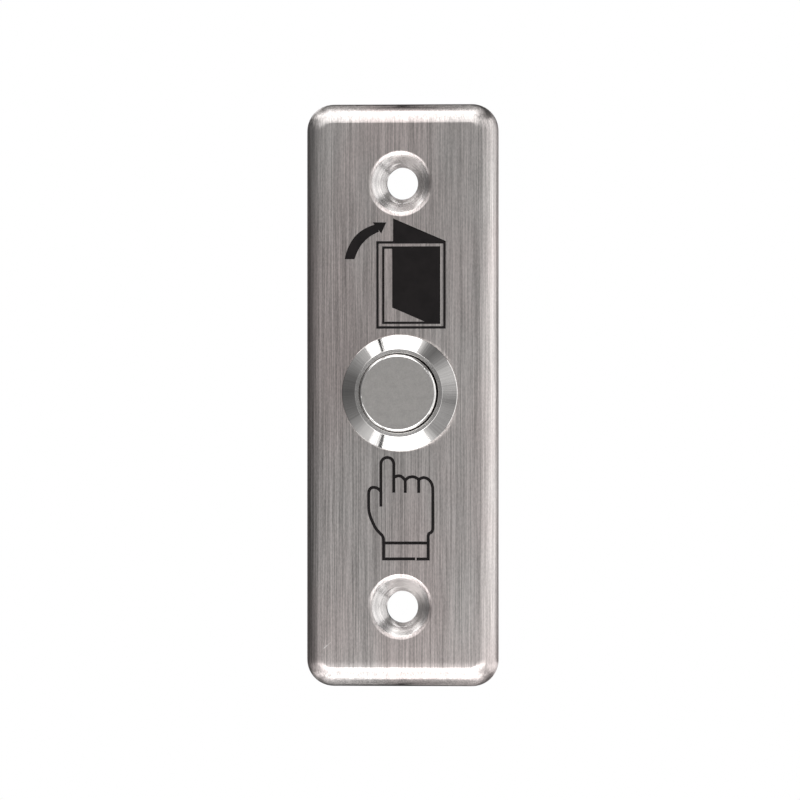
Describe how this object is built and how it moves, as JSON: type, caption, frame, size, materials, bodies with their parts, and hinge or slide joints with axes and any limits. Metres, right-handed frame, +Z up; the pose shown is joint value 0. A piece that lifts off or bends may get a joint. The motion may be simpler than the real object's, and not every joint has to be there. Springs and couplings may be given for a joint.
{
  "type": "door exit button",
  "caption": "Narrow steel wall plate with rounded edges, dimpled screw seats and a round metal push switch that is pressed to open a door.",
  "frame": {"origin": "on the wall, at the middle of the line between the two screw holes", "axes": "+Z up along the plate, -Y out of the wall towards the hand, +X to the right as seen from the front"},
  "size_m": [0.0296, 0.0238, 0.0894],
  "materials": {
    "plate_steel": "brushed lengthwise",
    "head_steel": "turned and polished",
    "cap_steel": "satin face, polished edge",
    "nickel_brass": "nickel plated",
    "zinc_steel": "zinc plated",
    "spring_steel": "drawn wire",
    "copper": "bright rolled",
    "silver": "satin",
    "brass": "rolled",
    "black_rubber": "matte",
    "ivory_plastic": "moulded",
    "black_plastic": "moulded",
    "sign_ink": "printed ink"
  },
  "bodies": {
    "housing": {"face_plate": "plate_steel", "panel_gasket": "black_rubber", "button_housing": "head_steel", "lock_washer": "zinc_steel", "hex_nut": "nickel_brass", "switch_base": "black_plastic", "terminal_left": "brass", "terminal_right": "brass", "fixed_contact_left": "silver", "fixed_contact_right": "silver", "clamp_plates": "zinc_steel", "terminal_screws": "zinc_steel", "return_spring": "spring_steel"},
    "actuator": {"button_cap": "cap_steel", "cap_seal": "black_rubber", "plunger": "ivory_plastic", "stem_clip": "spring_steel"},
    "contact": {"contact_bridge": "copper", "moving_contact_left": "silver", "moving_contact_right": "silver", "contact_spring": "spring_steel"}
  },
  "joints": [
    {"name": "press", "type": "slide", "parent": "housing", "child": "actuator", "axis": [0, 1, 0], "range_m": [0, 0.002], "stiffness_N_per_m": 1000, "springref_m": -0.0025, "deforming": ["return_spring"]},
    {"name": "contact_overtravel", "type": "slide", "parent": "actuator", "child": "contact", "axis": [0, 1, 0], "range_m": [-0.0004, 0], "deforming": ["contact_spring"]}
  ],
  "couplings": [
    {"joint": "contact_overtravel", "follows": "press", "ratio": -0.2}
  ]
}
